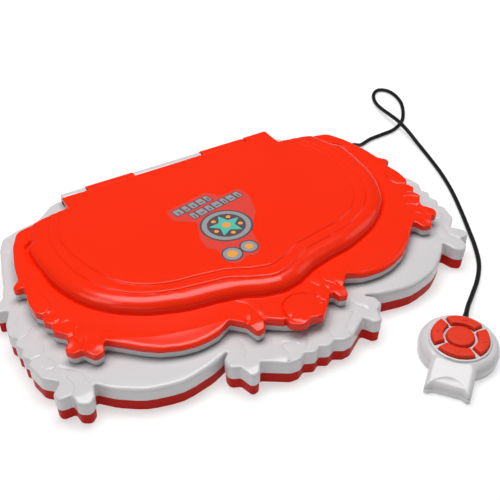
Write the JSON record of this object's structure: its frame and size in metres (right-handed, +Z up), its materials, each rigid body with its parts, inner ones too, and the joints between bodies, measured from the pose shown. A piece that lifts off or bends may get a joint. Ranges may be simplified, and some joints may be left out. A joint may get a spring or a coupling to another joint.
{
  "type": "toy learning laptop with wired mouse",
  "caption": "Clamshell toy laptop with a scalloped outline: red lid and lower shell, white inner shells, letter keys, LCD screen and a small wired round mouse.",
  "frame": {"origin": "centre of the laptop's flat underside, on the surface it stands on", "axes": "+Z up, +X to the right along the hinge line, +Y from the front edge towards the hinge"},
  "size_m": [0.3725, 0.3025, 0.0353],
  "materials": {
    "red_gloss": "glossy moulded ABS",
    "white_gloss": "glossy moulded ABS, faintly pink in shade",
    "button_red": "satin moulded buttons",
    "slider_red": "satin",
    "key_plastic": "satin key caps with a printed letter",
    "clear_window": "clear acrylic",
    "lcd": "green-grey liquid crystal glass in a frame",
    "sticker": "printed film",
    "steel": "bright zinc plated",
    "cell_wrap": "printed foil sleeve",
    "circuit_board": "solder mask on glass epoxy",
    "silicone": "translucent grey silicone",
    "speaker_black": "black paper cone and frame",
    "ribbon": "flat polyester ribbon",
    "cord_black": "satin black PVC"
  },
  "bodies": {
    "root": {"base_bottom_shell": "red_gloss", "base_top_shell": "white_gloss", "batteries": "cell_wrap", "battery_contacts": "steel", "main_board": "circuit_board", "main_board_screws": "steel", "keypad_membrane": "silicone", "speaker": "speaker_black", "power_switch_body": "steel", "base_screws": "steel", "hinge_pins": "steel", "cord_gland": "cord_black", "mouse_cord": "cord_black", "mouse_top_shell": "white_gloss", "mouse_bottom_shell": "white_gloss", "mouse_board": "circuit_board", "mouse_membrane": "silicone", "mouse_screws": "steel", "mouse_strain_relief": "cord_black"},
    "lid": {"lid_outer_shell": "red_gloss", "lid_inner_shell": "white_gloss", "screen_window": "clear_window", "lcd_module": "lcd", "display_cable": "ribbon", "lid_screws": "steel", "lid_decal": "sticker"},
    "battery_door": {"battery_door": "red_gloss", "battery_door_screws": "steel"},
    "power_slider": {"power_slider": "slider_red"},
    "mouse_button_up": {"mouse_button_up": "button_red"},
    "mouse_button_down": {"mouse_button_down": "button_red"},
    "mouse_button_left": {"mouse_button_left": "button_red"},
    "mouse_button_right": {"mouse_button_right": "button_red"},
    "mouse_button_centre": {"mouse_button_centre": "button_red"},
    "key_q": {"key_q": "key_plastic"},
    "key_w": {"key_w": "key_plastic"},
    "key_e": {"key_e": "key_plastic"},
    "key_r": {"key_r": "key_plastic"},
    "key_t": {"key_t": "key_plastic"},
    "key_y": {"key_y": "key_plastic"},
    "key_u": {"key_u": "key_plastic"},
    "key_i": {"key_i": "key_plastic"},
    "key_o": {"key_o": "key_plastic"},
    "key_p": {"key_p": "key_plastic"},
    "key_a": {"key_a": "key_plastic"},
    "key_s": {"key_s": "key_plastic"},
    "key_d": {"key_d": "key_plastic"},
    "key_f": {"key_f": "key_plastic"},
    "key_g": {"key_g": "key_plastic"},
    "key_h": {"key_h": "key_plastic"},
    "key_j": {"key_j": "key_plastic"},
    "key_k": {"key_k": "key_plastic"},
    "key_l": {"key_l": "key_plastic"},
    "key_z": {"key_z": "key_plastic"},
    "key_x": {"key_x": "key_plastic"},
    "key_c": {"key_c": "key_plastic"},
    "key_v": {"key_v": "key_plastic"},
    "key_b": {"key_b": "key_plastic"},
    "key_n": {"key_n": "key_plastic"},
    "key_m": {"key_m": "key_plastic"}
  },
  "joints": [
    {"name": "lid_hinge", "type": "hinge", "parent": "root", "child": "lid", "pos_m": [0, 0.096, 0.0205], "axis": [-1, 0, 0], "range_deg": [0, 110]},
    {"name": "battery_door_lift", "type": "slide", "parent": "root", "child": "battery_door", "axis": [0, 0, -1], "range_m": [0, 0.03]},
    {"name": "power_slider_travel", "type": "slide", "parent": "root", "child": "power_slider", "axis": [1, 0, 0], "range_m": [0, 0.005]},
    {"name": "mouse_press_up", "type": "slide", "parent": "root", "child": "mouse_button_up", "axis": [0, 0, -1], "range_m": [0, 0.001], "stiffness_N_per_m": 300, "springref_m": -0.0005},
    {"name": "mouse_press_down", "type": "slide", "parent": "root", "child": "mouse_button_down", "axis": [0, 0, -1], "range_m": [0, 0.001], "stiffness_N_per_m": 300, "springref_m": -0.0005},
    {"name": "mouse_press_left", "type": "slide", "parent": "root", "child": "mouse_button_left", "axis": [0, 0, -1], "range_m": [0, 0.001], "stiffness_N_per_m": 300, "springref_m": -0.0005},
    {"name": "mouse_press_right", "type": "slide", "parent": "root", "child": "mouse_button_right", "axis": [0, 0, -1], "range_m": [0, 0.001], "stiffness_N_per_m": 300, "springref_m": -0.0005},
    {"name": "mouse_press_centre", "type": "slide", "parent": "root", "child": "mouse_button_centre", "axis": [0, 0, -1], "range_m": [0, 0.001], "stiffness_N_per_m": 300, "springref_m": -0.0005},
    {"name": "press_key_q", "type": "slide", "parent": "root", "child": "key_q", "axis": [0, 0, -1], "range_m": [0, 0.001], "stiffness_N_per_m": 300, "springref_m": -0.0005},
    {"name": "press_key_w", "type": "slide", "parent": "root", "child": "key_w", "axis": [0, 0, -1], "range_m": [0, 0.001], "stiffness_N_per_m": 300, "springref_m": -0.0005},
    {"name": "press_key_e", "type": "slide", "parent": "root", "child": "key_e", "axis": [0, 0, -1], "range_m": [0, 0.001], "stiffness_N_per_m": 300, "springref_m": -0.0005},
    {"name": "press_key_r", "type": "slide", "parent": "root", "child": "key_r", "axis": [0, 0, -1], "range_m": [0, 0.001], "stiffness_N_per_m": 300, "springref_m": -0.0005},
    {"name": "press_key_t", "type": "slide", "parent": "root", "child": "key_t", "axis": [0, 0, -1], "range_m": [0, 0.001], "stiffness_N_per_m": 300, "springref_m": -0.0005},
    {"name": "press_key_y", "type": "slide", "parent": "root", "child": "key_y", "axis": [0, 0, -1], "range_m": [0, 0.001], "stiffness_N_per_m": 300, "springref_m": -0.0005},
    {"name": "press_key_u", "type": "slide", "parent": "root", "child": "key_u", "axis": [0, 0, -1], "range_m": [0, 0.001], "stiffness_N_per_m": 300, "springref_m": -0.0005},
    {"name": "press_key_i", "type": "slide", "parent": "root", "child": "key_i", "axis": [0, 0, -1], "range_m": [0, 0.001], "stiffness_N_per_m": 300, "springref_m": -0.0005},
    {"name": "press_key_o", "type": "slide", "parent": "root", "child": "key_o", "axis": [0, 0, -1], "range_m": [0, 0.001], "stiffness_N_per_m": 300, "springref_m": -0.0005},
    {"name": "press_key_p", "type": "slide", "parent": "root", "child": "key_p", "axis": [0, 0, -1], "range_m": [0, 0.001], "stiffness_N_per_m": 300, "springref_m": -0.0005},
    {"name": "press_key_a", "type": "slide", "parent": "root", "child": "key_a", "axis": [0, 0, -1], "range_m": [0, 0.001], "stiffness_N_per_m": 300, "springref_m": -0.0005},
    {"name": "press_key_s", "type": "slide", "parent": "root", "child": "key_s", "axis": [0, 0, -1], "range_m": [0, 0.001], "stiffness_N_per_m": 300, "springref_m": -0.0005},
    {"name": "press_key_d", "type": "slide", "parent": "root", "child": "key_d", "axis": [0, 0, -1], "range_m": [0, 0.001], "stiffness_N_per_m": 300, "springref_m": -0.0005},
    {"name": "press_key_f", "type": "slide", "parent": "root", "child": "key_f", "axis": [0, 0, -1], "range_m": [0, 0.001], "stiffness_N_per_m": 300, "springref_m": -0.0005},
    {"name": "press_key_g", "type": "slide", "parent": "root", "child": "key_g", "axis": [0, 0, -1], "range_m": [0, 0.001], "stiffness_N_per_m": 300, "springref_m": -0.0005},
    {"name": "press_key_h", "type": "slide", "parent": "root", "child": "key_h", "axis": [0, 0, -1], "range_m": [0, 0.001], "stiffness_N_per_m": 300, "springref_m": -0.0005},
    {"name": "press_key_j", "type": "slide", "parent": "root", "child": "key_j", "axis": [0, 0, -1], "range_m": [0, 0.001], "stiffness_N_per_m": 300, "springref_m": -0.0005},
    {"name": "press_key_k", "type": "slide", "parent": "root", "child": "key_k", "axis": [0, 0, -1], "range_m": [0, 0.001], "stiffness_N_per_m": 300, "springref_m": -0.0005},
    {"name": "press_key_l", "type": "slide", "parent": "root", "child": "key_l", "axis": [0, 0, -1], "range_m": [0, 0.001], "stiffness_N_per_m": 300, "springref_m": -0.0005},
    {"name": "press_key_z", "type": "slide", "parent": "root", "child": "key_z", "axis": [0, 0, -1], "range_m": [0, 0.001], "stiffness_N_per_m": 300, "springref_m": -0.0005},
    {"name": "press_key_x", "type": "slide", "parent": "root", "child": "key_x", "axis": [0, 0, -1], "range_m": [0, 0.001], "stiffness_N_per_m": 300, "springref_m": -0.0005},
    {"name": "press_key_c", "type": "slide", "parent": "root", "child": "key_c", "axis": [0, 0, -1], "range_m": [0, 0.001], "stiffness_N_per_m": 300, "springref_m": -0.0005},
    {"name": "press_key_v", "type": "slide", "parent": "root", "child": "key_v", "axis": [0, 0, -1], "range_m": [0, 0.001], "stiffness_N_per_m": 300, "springref_m": -0.0005},
    {"name": "press_key_b", "type": "slide", "parent": "root", "child": "key_b", "axis": [0, 0, -1], "range_m": [0, 0.001], "stiffness_N_per_m": 300, "springref_m": -0.0005},
    {"name": "press_key_n", "type": "slide", "parent": "root", "child": "key_n", "axis": [0, 0, -1], "range_m": [0, 0.001], "stiffness_N_per_m": 300, "springref_m": -0.0005},
    {"name": "press_key_m", "type": "slide", "parent": "root", "child": "key_m", "axis": [0, 0, -1], "range_m": [0, 0.001], "stiffness_N_per_m": 300, "springref_m": -0.0005}
  ]
}
